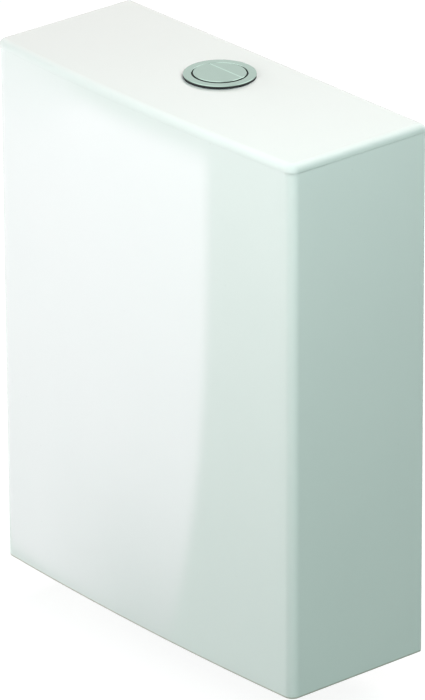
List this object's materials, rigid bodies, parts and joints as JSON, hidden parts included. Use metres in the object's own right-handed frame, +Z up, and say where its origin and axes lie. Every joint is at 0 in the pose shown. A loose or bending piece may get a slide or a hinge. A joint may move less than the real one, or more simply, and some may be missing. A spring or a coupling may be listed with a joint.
{
  "type": "toilet cistern",
  "caption": "Tall close-coupled ceramic toilet cistern with a flat lid, a round two-part push button, a two-stage flush valve and a float-operated fill valve.",
  "frame": {"origin": "on the axis of the flush outlet, midway between the coupling bolts, in the plane of the sole", "axes": "+X to the right seen from the front, +Y towards the wall, +Z up"},
  "size_m": [0.3918, 0.1559, 0.536],
  "materials": {
    "ceramic": "white glazed vitreous china",
    "chrome": "bright chrome plating on ABS",
    "white_abs": "white moulded ABS",
    "blue_abs": "blue moulded acetal",
    "grey_abs": "grey moulded polypropylene",
    "pad_rubber": "clear silicone pad",
    "black_rubber": "black moulded rubber",
    "foam_rubber": "black cellular rubber",
    "seal_rubber": "red silicone",
    "steel": "zinc plated steel",
    "spring_steel": "stainless spring wire",
    "brass": "machined brass"
  },
  "bodies": {
    "tank": {"tank": "ceramic", "flush_valve_base": "white_abs", "base_gasket": "black_rubber", "flush_backnut": "white_abs", "coupling_gasket": "foam_rubber", "valve_cage": "white_abs", "lever_bridge": "blue_abs", "lever_pin": "steel", "coupling_bolts": "steel", "cone_washers": "black_rubber", "head_washers": "steel", "lower_rubbers": "black_rubber", "nut_washers": "steel", "bolt_nuts": "steel", "fill_valve_shank": "brass", "inlet_filter": "blue_abs", "shank_washer": "black_rubber", "shank_backnut": "brass", "fill_riser": "white_abs", "fill_valve_head": "white_abs", "diaphragm": "seal_rubber", "fill_valve_cap": "blue_abs", "pilot_jet": "brass", "arm_pin": "steel"},
    "lid": {"lid": "ceramic", "lid_pads": "pad_rubber", "button_bezel": "chrome", "bezel_gasket": "black_rubber", "button_housing": "white_abs", "lid_nut": "white_abs", "full_button_spring": "spring_steel", "half_button_spring": "spring_steel"},
    "full_button": {"full_button": "chrome", "full_push_rod": "white_abs", "full_rod_nut": "white_abs"},
    "half_button": {"half_button": "chrome", "half_push_rod": "white_abs", "half_rod_nut": "white_abs"},
    "full_lever": {"full_lever": "grey_abs"},
    "half_lever": {"half_lever": "grey_abs"},
    "flush_cup": {"flush_cup": "grey_abs", "cup_seal": "seal_rubber", "cup_lift_rod": "blue_abs"},
    "overflow_tube": {"overflow_tube": "white_abs", "tube_seal": "seal_rubber", "seal_retainer": "blue_abs", "flush_float": "white_abs", "tube_lift_rod": "grey_abs"},
    "fill_float": {"fill_float": "grey_abs", "float_link": "steel", "link_clip": "blue_abs"},
    "float_arm": {"float_arm": "grey_abs"}
  },
  "joints": [
    {"name": "lid_lift", "type": "slide", "parent": "tank", "child": "lid", "axis": [0, 0, 1], "range_m": [0, 0.15]},
    {"name": "full_button_press", "type": "slide", "parent": "lid", "child": "full_button", "axis": [0, 0, -1], "range_m": [0, 0.008], "stiffness_N_per_m": 450, "springref_m": -0.008, "deforming": ["full_button_spring"]},
    {"name": "half_button_press", "type": "slide", "parent": "lid", "child": "half_button", "axis": [0, 0, -1], "range_m": [0, 0.008], "stiffness_N_per_m": 450, "springref_m": -0.008, "deforming": ["half_button_spring"]},
    {"name": "full_lever_rock", "type": "hinge", "parent": "tank", "child": "full_lever", "pos_m": [0, -0.012, 0.4], "axis": [0, -1, 0], "range_deg": [0, 38.94]},
    {"name": "half_lever_rock", "type": "hinge", "parent": "tank", "child": "half_lever", "pos_m": [0, 0.012, 0.4], "axis": [0, -1, 0], "range_deg": [0, 38.94]},
    {"name": "cup_lift", "type": "slide", "parent": "tank", "child": "flush_cup", "axis": [0, 0, 1], "range_m": [0, 0.01333]},
    {"name": "tube_lift", "type": "slide", "parent": "flush_cup", "child": "overflow_tube", "axis": [0, 0, 1], "range_m": [0, 0.01333]},
    {"name": "fill_float_rise", "type": "slide", "parent": "tank", "child": "fill_float", "axis": [0, 0, 1], "range_m": [0, 0.012]},
    {"name": "float_arm_swing", "type": "hinge", "parent": "tank", "child": "float_arm", "pos_m": [-0.133, 0, 0.362], "axis": [0, -1, 0], "range_deg": [0, 28.96]}
  ],
  "couplings": [
    {"joint": "full_lever_rock", "follows": "full_button_press", "rad_per_m": 84.959},
    {"joint": "cup_lift", "follows": "full_button_press", "ratio": 1.6667},
    {"joint": "half_lever_rock", "follows": "half_button_press", "rad_per_m": 84.959},
    {"joint": "tube_lift", "follows": "half_button_press", "ratio": 1.6667},
    {"joint": "float_arm_swing", "follows": "fill_float_rise", "rad_per_m": 42.113}
  ]
}
